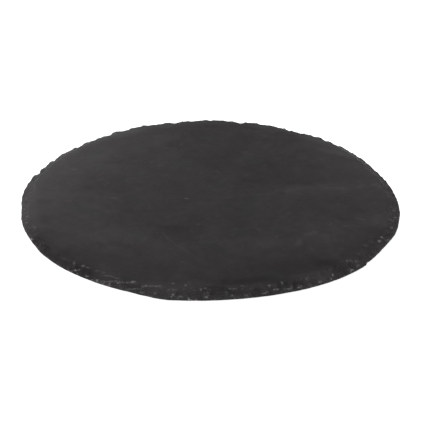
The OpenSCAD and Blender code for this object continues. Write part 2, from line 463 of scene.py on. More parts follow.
# Its swells, the plateaus, the ripples and the grain: size, and height or step
SWELL_SIZE, SWELL = 75 * MM, 0.12 * MM
PLATEAU_SIZE, PLATEAU = 80 * MM, 0.06 * MM
RIPPLE_SIZE, RIPPLE = 10 * MM, 0.10 * MM
GRAIN_SIZE, GRAIN = 5 * MM, 0.018 * MM
# Levels of the noise that are pulled flat into plateaus
PLATEAU_STEP = 0.2
PLATEAU_LEVELS = np.arange(-1.2, 1.21, PLATEAU_STEP)
# How far the top face lies under the frame's top before its relief is added
TOP_SINK = 0.05 * MM


def riven(x, y, seed):
    """Height of a riven face over its plane: swells, cleavage steps and fine grain."""
    warp_x, warp_y = wandered(x, y, 9 * MM, 26 * MM, 4, seed + 50, 0.6)
    swell = SWELL * fractal(x, y, SWELL_SIZE, 3, seed)
    plan = fractal(warp_x, warp_y, PLATEAU_SIZE, 3, seed + 20)
    plateau = PLATEAU / PLATEAU_STEP * staircase(plan, PLATEAU_LEVELS, 3)
    patch = smooth_step(-0.3, 0.5, fractal(x, y, 40 * MM, 2, seed + 30))
    ripple = RIPPLE * patch * fractal(x, y, RIPPLE_SIZE, 3, seed + 35)
    grain = GRAIN * fractal(x, y, GRAIN_SIZE, 2, seed + 40)
    return swell + plateau + ripple + grain


# The flakes that have left the top face: azimuth in degrees, length along the edge,
# reach in from the edge, depth
FLAKES = [
    (286, 84 * MM, 30 * MM, 0.3 * MM),
    (226, 67 * MM, 30 * MM, 0.24 * MM),
    (322, 42 * MM, 21 * MM, 0.3 * MM),
    (38, 59 * MM, 18 * MM, 0.21 * MM),
    (110, 50 * MM, 18 * MM, 0.3 * MM),
    (160, 59 * MM, 21 * MM, 0.24 * MM),
]
# How ragged a flake's inner side is, and how wide its step
FLAKE_RAGGED = 5 * MM
FLAKE_STEP = 6 * MM

# Low ridges and grooves of the top face: height and half width, then points in mm
RIDGES = [
    (0.30 * MM, 2.4 * MM, [(66, -77), (70, -67), (74, -61), (80, -55), (87, -59), (90, -71)]),
    (0.10 * MM, 1.8 * MM, [(-36, -58), (-31, -66), (-24, -78), (-14, -91)]),
    (0.10 * MM, 2.0 * MM, [(-88, -60), (-76, -80), (-62, -93), (-40, -97)]),
    (0.08 * MM, 2.0 * MM, [(-81, 31), (-60, 33), (-32, 39)]),
    (0.07 * MM, 1.8 * MM, [(-19, -2), (15, 4), (50, 9), (81, 18)]),
    (0.16 * MM, 2.4 * MM, [(64, 19), (78, 20), (92, 15), (108, 18)]),
    (0.22 * MM, 2.4 * MM, [(116, 16), (122, 23), (133, 25), (141, 17), (145, 7)]),
    (-0.10 * MM, 2.2 * MM, [(-65, -24), (-62, -26), (-59, -24)]),
    (-0.12 * MM, 2.2 * MM, [(-99, 18), (-95, 13)]),
    (0.22 * MM, 2.0 * MM, [(27, 84), (34, 77)]),
    (0.08 * MM, 2.0 * MM, [(40, -50), (52, -62), (47, -74)]),
    (-0.10 * MM, 2.4 * MM, [(-48, -42), (-35, -49), (-26, -50)]),
    (-0.10 * MM, 2.2 * MM, [(-90, 67), (-84, 60), (-66, 62)]),
    (-0.08 * MM, 2.6 * MM, [(28, 34), (38, 28), (44, 33)]),
    (-0.09 * MM, 1.8 * MM, [(57, 9), (68, 8), (80, 8)]),
]

# How much paler a ridge's crest is, and how much darker a groove, for its height: worn crests,
# with painted light on the crests and painted shade in the grooves
RIDGE_WEAR_AND_SHADE = 1.1 / MM

# Painted light and shade towards the edge: paler towards the back as a painted highlight,
# darker along the front as painted shade: azimuth in degrees, tone
RIM_PAINTED_LIGHT = [
    (0, 0.26), (15, 0.38), (30, 0.40), (45, 0.34), (60, 0.20), (75, 0.07), (95, 0.05),
    (110, 0.24), (125, 0.44), (140, 0.48), (160, 0.50), (178, 0.50), (190, 0.28),
    (200, 0.12), (206, -0.08), (214, -0.22), (228, -0.34), (245, -0.28), (262, -0.26),
    (275, -0.34), (290, -0.37), (305, -0.31), (320, -0.12), (335, 0.06), (348, 0.22),
    (360, 0.28),
]
# Where that painted light and shade starts and where it is in full, as shares of the radius
RIM_LIGHT_FROM, RIM_LIGHT_TO = 0.45, 0.97

# The dressed rim, dulled to a neutral grey by stone dust: azimuth, share of dust
RIM_DUST = [
    (0, 0.2), (25, 0.3), (50, 0.7), (90, 0.8), (115, 1.0), (150, 0.8), (175, 0.5),
    (195, 0.3), (205, 0.0), (232, 0.0), (245, 0.5), (270, 0.3), (290, 0.4), (310, 0.2),
    (322, 0.0), (345, 0.0), (360, 0.2),
]
# How much paler or darker that rim is, partly its own tone and partly painted light where it
# faces the lights, at the back and on the left: azimuth, tone
RIM_TONE_AND_LIGHT = [
    (0, 0.06), (30, 0.08), (60, 0.55), (80, 0.16), (100, 0.24), (120, 0.62), (150, 0.24),
    (168, 0.16), (182, 0.20), (192, 0.28), (200, 0.24), (205, -0.10), (215, -0.08),
    (230, 0.02), (245, 0.12), (270, 0.08), (285, 0.12), (300, 0.26), (315, 0.16),
    (330, 0.0), (360, 0.04),
]
# Where both start and where they are in full, as shares of the radius
RIM_FROM, RIM_TO = 0.88, 0.945

# Paler and darker zones of the top face, partly the slate's own mottling, partly painted shade
# along the front rim and a painted highlight at the back right: centre in mm, half lengths in
# mm, turn in degrees, tone
MOTTLE_AND_LIGHT_ZONES = [
    (-60, 66, 70, 40, 25, 0.09),
    (-98, -58, 24, 24, 0, 0.14),
    (28, 12, 16, 6, 5, 0.09),
    (80, -84, 16, 22, -35, 0.09),
    (-74, -62, 34, 18, 10, 0.14),
    (95, -55, 26, 16, -20, 0.14),
    (82, 14, 26, 14, 8, 0.17),
    (122, -36, 16, 12, 0, 0.16),
    (15, -30, 44, 26, 10, -0.08),
    (12, 28, 24, 12, 0, -0.06),
    (-105, 9, 10, 2.5, -8, -0.09),
    (38, -127, 38, 5.5, 5, -0.20),
    (122, -60, 20, 7, 60, -0.08),
    (-118, -80, 24, 7, -38, -0.12),
    (105, 81, 17, 5, -35, 0.30),
    (-28, 86, 24, 12, 0, -0.09),
    (-110, 68, 16, 9, 60, -0.09),
    (2, -56, 36, 12, 0, -0.09),
    (4, -144, 16, 6, 0, -0.27),
    (56, -131, 15, 5, 10, -0.20),
    (95, -105, 19, 9, -42, -0.20),
    (-57, -132, 12, 5, -25, -0.21),
    (-18, -136, 16, 7, -8, 0.15),
    (18, -88, 26, 20, 0, -0.07),
    (-70, -86, 13, 7, 0, 0.15),
    (-92, -109, 14, 6, -40, -0.16),
    (-129, -40, 9, 8, 0, -0.16),
    (12, -62, 10, 9, 0, -0.08),
    (-88, 66, 14, 7, 0, -0.09),
    (75, -39, 10, 6, 0, -0.10),
    (99, -19, 8, 6, 0, -0.07),
    (63, 16, 9, 5, 0, 0.10),
    (12, -22, 14, 6, 0, -0.06),
]

# Patches where one more layer has split off: as the zones, but with a crisp ragged rim
PLATES = [
    (-92, 92, 62, 63, 0, 0.05),
    (-25, -60, 14, 15, 0, -0.10),
    (-74, 62, 5, 8, 15, -0.10),
    (-131, -11, 6, 5, 0, -0.10),
    (-97, 16, 8, 4, 30, -0.09),
    (40, 52, 30, 13, -8, -0.04),
    (-50, -15, 22, 9, 12, -0.05),
    (112, -8, 16, 9, -20, -0.05),
    (-104, -44, 20, 12, 20, 0.06),
    (30, -76, 26, 9, 10, 0.05),
]
# How ragged and how blurred their rims are, as shares of their size
PLATE_RAGGED, PLATE_BLUR = 0.25, 0.04
# How uneven the rest of the slate's tone is
CLOUD_TONE = 0.08
# Levels of the noise that are pulled flat into cloudy patches, and how much those show
PATCH_LEVELS = np.array([-1.0, -0.35, -0.12, 0.12, 0.35, 1.0])
PATCH_TONE = 0.16


def near_line(x, y, points):
    """Distance to a line of straight pieces."""
    nearest = np.full_like(x, 1.0)
    for (ax, ay), (bx, by) in zip(points, points[1:]):
        ax, ay, bx, by = ax * MM, ay * MM, bx * MM, by * MM
        length2 = (bx - ax) ** 2 + (by - ay) ** 2
        t = (((x - ax) * (bx - ax) + (y - ay) * (by - ay)) / length2).clip(0, 1)
        nearest = np.minimum(nearest, np.hypot(x - mix(ax, bx, t), y - mix(ay, by, t)))
    return nearest


def in_oval(x, y, mid_x, mid_y, long, wide, turn):
    """How far out a point lies in a turned oval given in mm: 0 in the middle, 1 on it."""
    c, s = math.cos(math.radians(turn)), math.sin(math.radians(turn))
    dx, dy = x - mid_x * MM, y - mid_y * MM
    return np.hypot((c * dx + s * dy) / long, (c * dy - s * dx) / wide) / MM


def flaked(x, y):
    """How deep the missing flakes leave the top face."""
    depth = np.zeros_like(x)
    ragged = FLAKE_RAGGED * fractal(x, y, 16 * MM, 4, SEED + 300)
    for azimuth, length, reach, deep in FLAKES:
        c, s = math.cos(math.radians(azimuth)), math.sin(math.radians(azimuth))
        out, side = c * x + s * y, c * y - s * x
        inner = MEAN_R - reach * (1 - (2 * side / length) ** 2).clip(-1)
        gone = smooth_step(-FLAKE_STEP / 2, FLAKE_STEP / 2, out - inner + ragged)
        depth = np.maximum(depth, deep * gone)
    return depth


def ridges(x, y):
    """Height of the low ridges and grooves, worn unevenly along their length."""
    wander_x, wander_y = wandered(x, y, 2.2 * MM, 9 * MM, 3, SEED + 310)
    rough = 0.75 + 0.9 * fractal(x, y, 6 * MM, 2, SEED + 330)
    z = np.zeros_like(x)
    for height, half_width, points in RIDGES:
        away = near_line(wander_x, wander_y, points) / half_width
        z = z + height * rough * np.exp(-(away**2))
    return z


def top_height(x, y):
    """Height of the top face, before its edge is carved."""
    return TOP_Z - TOP_SINK + riven(x, y, SEED) - flaked(x, y) + ridges(x, y)


def rim_marks(x, y, table):
    """A table's value by azimuth, on a narrow ragged rim only."""
    outward = np.hypot(x, y) / MEAN_R
    outward = outward + 0.03 * fractal(x, y, 14 * MM, 4, SEED + 380, 0.6)
    around = np.interp(np.degrees(np.arctan2(y, x)) % 360, *zip(*table))
    return around * smooth_step(RIM_FROM, RIM_TO, outward)


def top_tone_and_light(x, y):
    """How much paler or darker the slate is than its plain colour: its own mottling and split
    plates, with painted light and shade towards the rim, in some zones and on the ridges.
    """
    tone_and_light = CLOUD_TONE * fractal(x, y, 24 * MM, 4, SEED + 340, 0.6)
    wander_x, wander_y = wandered(x, y, 7 * MM, 22 * MM, 4, SEED + 350, 0.6)
    # Zones of the slate's own mottling, with painted shade along the front and a painted
    # highlight among them
    for *oval, amount in MOTTLE_AND_LIGHT_ZONES:
        tone_and_light = tone_and_light + amount * (1 - smooth_step(0.4, 1.5, in_oval(wander_x, wander_y, *oval)))
    ragged = PLATE_RAGGED * fractal(x, y, 9 * MM, 3, SEED + 365, 0.6)
    for *oval, amount in PLATES:
        away = in_oval(wander_x, wander_y, *oval) + ragged
        tone_and_light = tone_and_light + amount * (1 - smooth_step(1 - PLATE_BLUR, 1 + PLATE_BLUR, away))
    # Painted light and shade towards the rim, by azimuth
    turn = np.degrees(np.arctan2(wander_y, wander_x)) % 360
    rim = np.interp(turn, *zip(*RIM_PAINTED_LIGHT))
    outward = np.hypot(wander_x, wander_y) / MEAN_R
    tone_and_light = tone_and_light + rim * smooth_step(RIM_LIGHT_FROM, RIM_LIGHT_TO, outward)
    patches = fractal(wander_x, wander_y, 20 * MM, 4, SEED + 370, 0.6)
    tone_and_light = tone_and_light + PATCH_TONE * staircase(patches, PATCH_LEVELS, 4)
    # The rim's tone with painted light, and the ridges' wear with painted light and shade
    return tone_and_light + rim_marks(x, y, RIM_TONE_AND_LIGHT) + RIDGE_WEAR_AND_SHADE * ridges(x, y)


# Meshes, and the slab's own

# What each point is marked with for the material
MARKS = ("fresh", "bruise_and_glint", "tone_and_light", "dust")
UNMARKED = np.zeros((1, len(MARKS)))


class Rings:
    """A mesh grown ring by ring, each ring with as many points or half as many."""

    def __init__(self):
        self.points, self.faces, self.marks = [], [], []
        self.count = 0
        self.last = None

    def place(self, xyz, marks):
        """Adds points, and gives back the number of the first and how many they are."""
        start = self.count
        self.points.append(xyz)
        self.marks.append(marks)
        self.count += len(xyz)
        return start, len(xyz)

    def add(self, xyz, marks):
        """Adds a ring of points and joins it to the ring before."""
        ring = self.place(xyz, marks)
        if self.last is not None:
            self.join(self.last, ring)
        self.last = ring

    def join(self, before, after):
        """Joins two rings by quads, or by triangles where the second has half as many."""
        (a, n), (b, m) = before, after
        i = np.arange(m)
        if n == m:
            ahead = (i + 1) % n
            self.faces.append(np.stack([a + i, a + ahead, b + ahead, b + i], 1))
        else:
            first, middle, last = a + 2 * i, a + 2 * i + 1, a + (2 * i + 2) % n
            ahead = b + (i + 1) % m
            self.faces.append(np.stack([first, middle, b + i], 1))
            self.faces.append(np.stack([middle, ahead, b + i], 1))
            self.faces.append(np.stack([middle, last, ahead], 1))

    def close(self, x, y, z):
        """Closes the last ring with a fan of triangles to one point."""
        a, n = self.last
        tip, _ = self.place(np.array([[x, y, z]]), UNMARKED)
        i = np.arange(n)
        self.faces.append(np.stack([a + i, a + (i + 1) % n, np.full(n, tip)], 1))

    def turn_over(self, count):
        """Turns all faces so far, and goes on from the first ring, of count points."""
        self.faces = [block[:, ::-1] for block in self.faces]
        self.last = (0, count)


def ring_xy(radii, count):
    """Places of evenly spread points on a circle."""
    step = COLUMNS // count
    return radii * cosines[::step], radii * sines[::step]


def inner_radii(start, spacing, count):
    """Radii from start to the middle, with the number of points on each ring."""
    radii, r = [], start - spacing
    while r > spacing:
        if count > 60 and 2 * math.pi * r / count < 0.55 * spacing:
            count //= 2
        radii.append((r, count))
        r -= spacing
    return radii


def mesh_object(name, rings):
    """A smooth-shaded object of the rings' faces, with each point's marks."""
    points = np.concatenate(rings.points)
    mesh = bpy.data.meshes.new(name)
    faces = [face for block in rings.faces for face in block.tolist()]
    mesh.from_pydata(points.tolist(), [], faces)
    marks = np.concatenate(rings.marks)
    for k, mark in enumerate(MARKS):
        layer = mesh.attributes.new(mark, "FLOAT", "POINT")
        layer.data.foreach_set("value", np.ascontiguousarray(marks[:, k], dtype=np.float32))
    mesh.shade_smooth()
    mesh.set_sharp_from_angle(angle=SHARP_ANGLE)
    mesh.update()
    piece = bpy.data.objects.new(name, mesh)
    bpy.context.scene.collection.objects.link(piece)
    return piece


# Distance between the rings of the top face, inside the band, and of the underside
INNER_SPACING = 1.9 * MM
UNDER_SPACING = 3.8 * MM
# Where the underside's rings start, and width of the flat strip along its edge
UNDER_START_R = BAND_INNER_R + 10 * MM
UNDER_MARGIN = 1.5 * MM
# The underside's relief as a share of the top's, how far it is raised, and how far from
# a foot it dies away
UNDER_SHARE = 0.8
UNDER_RAISE = 0.05 * MM
UNDER_FADE = 12 * MM
# Edges with a sharper bend than this aren't shaded smooth
SHARP_ANGLE = math.radians(40)
# Where the feet are
CORNERS = ("front_left", "front_right", "back_right", "back_left")


def edge_detail(size, height, seed):
    """Small ins and outs of an outline, for every column."""
    x, y = MEAN_R * cosines, MEAN_R * sines
    return height * fractal(x, y, size, 3, seed)


def band_heights(x, y, top, depth_in, rng):
    """Heights of the band: the top, cut by scars that step from layer to layer."""
    scars = np.full_like(top, 1.0)
    bevel_width = edge_r - rim_r
    carve_chips(scars, depth_in, bevel_width, rng)
    carve_rim(scars, depth_in, bevel_width, rng)
    carve_edge(scars, depth_in, rng)

    wander = LAYER_WANDER * fractal(x, y, 6 * MM, 3, SEED + 500)
    thickness = rng.uniform(LAYER_THIN, LAYER_THICK, LAYERS)
    layers = UNDER_Z + np.cumsum(np.concatenate([[LAYER_FIRST], thickness]))
    stepped = staircase(scars + wander, layers, LAYER_SHARP) - wander
    split = smooth_step(-0.6, 0.1, fractal(x, y, 14 * MM, 2, SEED + 510))
    shown = mix(LAYERS_LEAST, LAYERS_MOST, split)
    scars = mix(scars, stepped, shown * (1 - calm(azimuths))[:, None])

    size, height = SCAR_ROUGH
    scars = scars + height * fractal(x, y, size, 2, SEED + 520)
    return np.maximum(np.minimum(top, scars), UNDER_Z + LIP_LEAST)


def band_marks(x, y, top, heights):
    """Marks of the band: laid bare where it is cut, with crushed spots and painted glints on
    its crests.
    """
    fresh = smooth_step(0.02 * MM, 0.2 * MM, top - heights)
    crest = smooth_step(0.05 * MM, 0.25 * MM, ridged(heights))
    dashes = smooth_step(0.2, 0.6, fractal(x, y, 8 * MM, 3, SEED + 530))
    specks = smooth_step(0.55, 0.85, fractal(x, y, 1.5 * MM, 2, SEED + 540))
    grit = 0.15 + 0.95 * smooth_step(-0.2, 0.4, fractal(x, y, 1.1 * MM, 2, SEED + 545))
    # Painted glints in dashes along the crests, and crushed specks on bared stone
    bruise_and_glint = np.maximum(0.32 * crest * dashes, 0.2 * fresh * specks)
    bruise_and_glint = np.clip(np.maximum(bruise_and_glint, crushed_and_glinting(x, y, heights, grit)), 0, 1)
    return np.stack([fresh, bruise_and_glint, top_tone_and_light(x, y), rim_marks(x, y, RIM_DUST)], -1)


def add_lip(rings, edge, lip_top, marks):
    """The lip under the band, its lower edge, the arris and the strip under the edge."""
    patchy = fractal(MEAN_R * cosines, MEAN_R * sines, 3 * MM, 2, SEED + 550)
    _, bruise_and_glint, tone_and_light, dust = marks.T
    # Crushed spots and painted glints in patches along the lip
    bruise_and_glint = np.maximum(0.5 * smooth_step(0.4, 0.7, patchy), bruise_and_glint)
    marks = np.stack([np.ones(COLUMNS), bruise_and_glint, tone_and_light, dust], 1)
    for n, (lean, rise) in enumerate(LIP_PROFILE):
        z = UNDER_Z + ARRIS + (lip_top - UNDER_Z - ARRIS) * rise
        r = edge - LIP_LEAN * lean + edge_detail(*LIP_ROUGH, SEED + 600 + n)
        rings.add(np.stack([r * cosines, r * sines, z], 1), marks)
    arris = ARRIS * (1 + ARRIS_MORE * np.abs(edge_detail(3 * MM, 1.0, SEED + 610)))
    for r in (edge - arris, edge - arris - UNDER_MARGIN):
        x, y, z = r * cosines, r * sines, np.full(COLUMNS, UNDER_Z)
        rings.add(np.stack([x, y, z], 1), face_marks(x, y))


def build_slab():
    """The slab: band, lip and underside, then the top face from the band inwards."""
    rng = np.random.default_rng(SEED)
    edge = edge_r + edge_detail(*EDGE_ROUGH, SEED + 400) - bites()
    share = np.linspace(0, 1, BAND_RINGS + 1) ** BAND_CROWDING
    radii = BAND_INNER_R + (edge - LIP_LEAN - BAND_INNER_R)[:, None] * share
    x, y = radii * cosines[:, None], radii * sines[:, None]
    top = top_height(x, y)
    heights = band_heights(x, y, top, edge[:, None] - radii, rng)
    marks = band_marks(x, y, top, heights)

    rings = Rings()
    for k in range(BAND_RINGS + 1):
        rings.add(np.stack([x[:, k], y[:, k], heights[:, k]], 1), marks[:, k])
    add_lip(rings, edge, heights[:, -1], marks[:, -1])
    for radius, count in inner_radii(UNDER_START_R, UNDER_SPACING, COLUMNS):
        x, y = ring_xy(radius, count)
        rings.add(np.stack([x, y, UNDER_Z + under_height(x, y)], 1), face_marks(x, y))
    rings.close(0, 0, UNDER_Z)

    rings.turn_over(COLUMNS)
    for radius, count in inner_radii(BAND_INNER_R, INNER_SPACING, COLUMNS):
        x, y = ring_xy(radius, count)
        rings.add(np.stack([x, y, top_height(x, y)], 1), face_marks(x, y))
    rings.close(0, 0, float(top_height(np.zeros(1), np.zeros(1))[0]))
    return mesh_object("slate", rings)


def face_marks(x, y):
    """Marks of a plain riven face: not fresh, with no crushed spots or glints, only toned,
    with painted light and shade in that tone, and dusty.
    """
    nothing = np.zeros_like(x)
    return np.stack([nothing, nothing, top_tone_and_light(x, y), rim_marks(x, y, RIM_DUST)], 1)


def under_height(x, y):
    """The underside's relief, which dies away where the feet are stuck on."""
    relief = riven(x, y, SEED + 700) * UNDER_SHARE
    flat = np.ones_like(x)
    for corner in CORNERS:
        low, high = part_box("adhesive_" + corner)
        middle, radius = (low + high) / 2, (high.x - low.x) / 2
        away = np.hypot(x - middle.x, y - middle.y)
        flat = np.minimum(flat, smooth_step(radius, radius + UNDER_FADE, away))
    return np.maximum(relief + UNDER_RAISE, 0) * flat


# Materials


def new_material(name):
    """An opaque material, with its node tree and its shader."""
    material = bpy.data.materials.new(name)
    material.use_nodes = True
    tree = material.node_tree
    tree.nodes.clear()
    output = tree.nodes.new("ShaderNodeOutputMaterial")
    shader = tree.nodes.new("ShaderNodeBsdfPrincipled")
    tree.links.new(shader.outputs["BSDF"], output.inputs["Surface"])
    return material, tree, shader


def feed(tree, socket, value):
    """Gives a socket another socket's output or a plain value, or leaves it alone."""
    if isinstance(value, bpy.types.NodeSocket):
        tree.links.new(value, socket)
    elif value is not None:
        socket.default_value = value


def noise_node(tree, vector, scale, detail=3, roughness=0.5, distortion=0, output="Fac"):
    node = tree.nodes.new("ShaderNodeTexNoise")
    node.inputs["Scale"].default_value = scale
    node.inputs["Detail"].default_value = detail
    node.inputs["Roughness"].default_value = roughness
    node.inputs["Distortion"].default_value = distortion
    tree.links.new(vector, node.inputs["Vector"])
    return node.outputs[output]


def ramp_node(tree, factor, stops):
    node = tree.nodes.new("ShaderNodeValToRGB")
    ramp = node.color_ramp
    while len(ramp.elements) < len(stops):
        ramp.elements.new(0.5)
    for element, (place, colour) in zip(ramp.elements, stops):
        element.position = place
        element.color = (*colour, 1)
    tree.links.new(factor, node.inputs["Fac"])
    return node.outputs["Color"]


def mix_colour(tree, factor, a, b, blend="MIX"):
    node = tree.nodes.new("ShaderNodeMix")
    node.data_type = "RGBA"
    node.blend_type = blend
    for place, value in ((0, factor), (6, a), (7, b)):
        feed(tree, node.inputs[place], (*value, 1) if isinstance(value, tuple) else value)
    return node.outputs[2]


def maths(tree, operation, a, b, clamp=False):
    node = tree.nodes.new("ShaderNodeMath")
    node.operation = operation
    node.use_clamp = clamp
    feed(tree, node.inputs[0], a)
    feed(tree, node.inputs[1], b)
    return node.outputs[0]


def steep(tree, value, level, gain):
    """How far a value is over a level, times a gain, kept between 0 and 1."""
    over = maths(tree, "SUBTRACT", value, level)
    return maths(tree, "MULTIPLY", over, gain, clamp=True)


def vector_maths(tree, operation, *values):
    node = tree.nodes.new("ShaderNodeVectorMath")
    node.operation = operation
    for socket, value in zip(node.inputs, values):
        feed(tree, socket, value)
    return node.outputs["Vector"]


def attribute(tree, name):
    node = tree.nodes.new("ShaderNodeAttribute")
    node.attribute_name = name
    return node.outputs["Fac"]


def bump(tree, height, strength, distance, normal=None):
    node = tree.nodes.new("ShaderNodeBump")
    node.inputs["Strength"].default_value = strength
    node.inputs["Distance"].default_value = distance
    tree.links.new(height, node.inputs["Height"])
    if normal is not None:
        tree.links.new(normal, node.inputs["Normal"])
    return node.outputs["Normal"]


def coordinates(tree):
    return tree.nodes.new("ShaderNodeTexCoord").outputs["Object"]


# Colours of the riven face, of bared stone, of crushed spots and painted glints, of streaks,
# and of dust, which is also the grey of painted sheen
SLATE_DARK = (0.0372, 0.0325, 0.0340)
SLATE_MID = (0.0422, 0.0370, 0.0387)
SLATE_LIGHT = (0.0475, 0.0420, 0.0437)
SLATE_GREEN = (0.0385, 0.0396, 0.0394)
FRESH_DARK = (0.0405, 0.0360, 0.0375)
FRESH_LIGHT = (0.0515, 0.0465, 0.0482)
BRUISE_AND_GLINT = (0.36, 0.355, 0.355)
STREAK = (0.095, 0.089, 0.090)
DUST_AND_SHEEN_GREY = (0.0440, 0.0428, 0.0430)

# Noises of the slate: scale in lumps per metre, detail, roughness and distortion
CLOUD_NOISE = (34, 6, 0.66)
BROKEN_NOISE = (240, 2, 0.6)
FRESH_NOISE = (300, 3, 0.6)
LAYER_NOISE = (26, 6, 0.6, 0.25)
SPECK_NOISE = (1300, 2, 0.6)
# Clouds of the riven face and spots of the bared stone: noise levels and their colours
CLOUD_STOPS = [(0.32, SLATE_DARK), (0.52, SLATE_MID), (0.72, SLATE_LIGHT)]
FRESH_STOPS = [(0.35, FRESH_DARK), (0.72, FRESH_LIGHT)]
# Flecks over the clouds: noise scale and detail, the level past which they show, the
# gain from there on, negative for what shows under the level, and their colour
FLECKS = [
    (45, 3, 0.56, 5.0, SLATE_GREEN),
    (190, 2, 0.62, 1.3, STREAK),
    (190, 2, 0.38, -6.5, SLATE_DARK),
    (420, 1, 0.78, 4.0, STREAK),
]
# How far pale places are greyed towards the dust colour, as a share of their tone: dust on the
# pale mottling, and the grey of painted sheen where the paleness is painted light
PALE_GREYING = 0.7
# Specks that break up the crushed spots and painted glints: level and gain, and then the
# spots' own gain
SPECK_LEVEL, SPECK_GAIN = 0.36, 3.6
BRUISE_AND_GLINT_GAIN = 1.3
# The slate's sheen: noise levels and their roughness, and the strength of its shine
ROUGH_STOPS = [(0.3, (0.52, 0.52, 0.52)), (0.7, (0.66, 0.66, 0.66))]
SLATE_SHINE = 0.14
# The slate's grain, too fine for the mesh: noise, strength and depth
GRAINS = [((120, 3), 0.7, 0.40 * MM), ((900, 4, 0.65), 0.1, 0.08 * MM)]

# Shades of the bared layers, and the noise levels at which one gives way to the next
LAYER_SHADES = (0.93, 1.01, 0.955, 1.035, 0.97, 1.06)
LAYER_FROM, LAYER_STEP, LAYER_BLUR = 0.27, 0.065, 0.010

# How the streaks wander, as a span in mm and in lumps per metre, and how much they show
STREAK_WARP, STREAK_WARP_SCALE = 6, 90
STREAK_GAIN = 2.2
# Faint pale streaks on the top face: from and to in mm, half width in mm, strength
STREAKS = [
    (8, 0, 22, 1, 0.9, 0.35),
    (36, 6, 45, 6, 0.8, 0.3),
    (48, 13, 84, 18, 0.8, 0.14),
    (-20, -2, -17, -2, 1.2, 0.9),
    (-36, -57, -24, -79, 0.9, 0.32),
    (-27, -75, -12, -91, 0.9, 0.14),
    (-113, 47, -110, 47, 1.0, 1.0),
    (84, 22, 112, 17, 1.6, 0.25),
    (-44, 55, -40, 57, 1.0, 0.5),
    (-128, 13, -120, 15, 1.2, 0.5),
    (100, -44, 108, -46, 1.0, 0.45),
    (115, -33, 121, -35, 1.2, 0.5),
    (-80, -3, -73, -3, 1.0, 0.6),
    (-85, 18, -82, 26, 1.0, 0.4),
    (116, -74, 119, -76, 1.4, 0.7),
]


def streak_mask(tree, place, x0, y0, x1, y1, half_width):
    """1 along a thin line on the face and 0 away from it."""
    fit = tree.nodes.new("ShaderNodeMapping")
    fit.vector_type = "TEXTURE"
    fit.inputs["Location"].default_value = ((x0 + x1) / 2 * MM, (y0 + y1) / 2 * MM, 0)
    fit.inputs["Rotation"].default_value = (0, 0, math.atan2(y1 - y0, x1 - x0))
    half_length = math.hypot(x1 - x0, y1 - y0) / 2 + half_width
    fit.inputs["Scale"].default_value = (half_length * MM, half_width * MM, 1)
    tree.links.new(place, fit.inputs["Vector"])
    flat = vector_maths(tree, "MULTIPLY", fit.outputs["Vector"], (1, 1, 0))
    ball = tree.nodes.new("ShaderNodeTexGradient")
    ball.gradient_type = "SPHERICAL"
    tree.links.new(flat, ball.inputs["Vector"])
    return ball.outputs["Fac"]


def streaked(tree, place, colour):
    """Draws the streaks over a colour, each bent and broken up by noise."""
    wander = noise_node(tree, place, STREAK_WARP_SCALE, 2, output="Color")
    reach = (STREAK_WARP * MM, STREAK_WARP * MM, 0)
    bent = vector_maths(tree, "MULTIPLY_ADD", wander, reach, place)
    # The noise is a half on the average, so the bent place is off by half the reach
    off = STREAK_WARP / 2
    broken = noise_node(tree, place, *BROKEN_NOISE)
    for *ends, half_width, strength in STREAKS:
        mask = streak_mask(tree, bent, *[end + off for end in ends], half_width)
        mask = maths(tree, "MULTIPLY", mask, broken)
        mask = maths(tree, "MULTIPLY", mask, STREAK_GAIN * strength, clamp=True)
        colour = mix_colour(tree, mask, colour, STREAK)
    return colour


def layer_shades(tree, place):
    """A grey factor in a few flat shades, from a warped noise cut into levels."""
    plan = noise_node(tree, place, *LAYER_NOISE)
    stops = []
    for k, shade in enumerate(LAYER_SHADES):
        if k > 0:
            stops.append((LAYER_FROM + k * LAYER_STEP + LAYER_BLUR, (shade,) * 3))
        if k < len(LAYER_SHADES) - 1:
            stops.append((LAYER_FROM + (k + 1) * LAYER_STEP, (shade,) * 3))
    return ramp_node(tree, plan, stops)


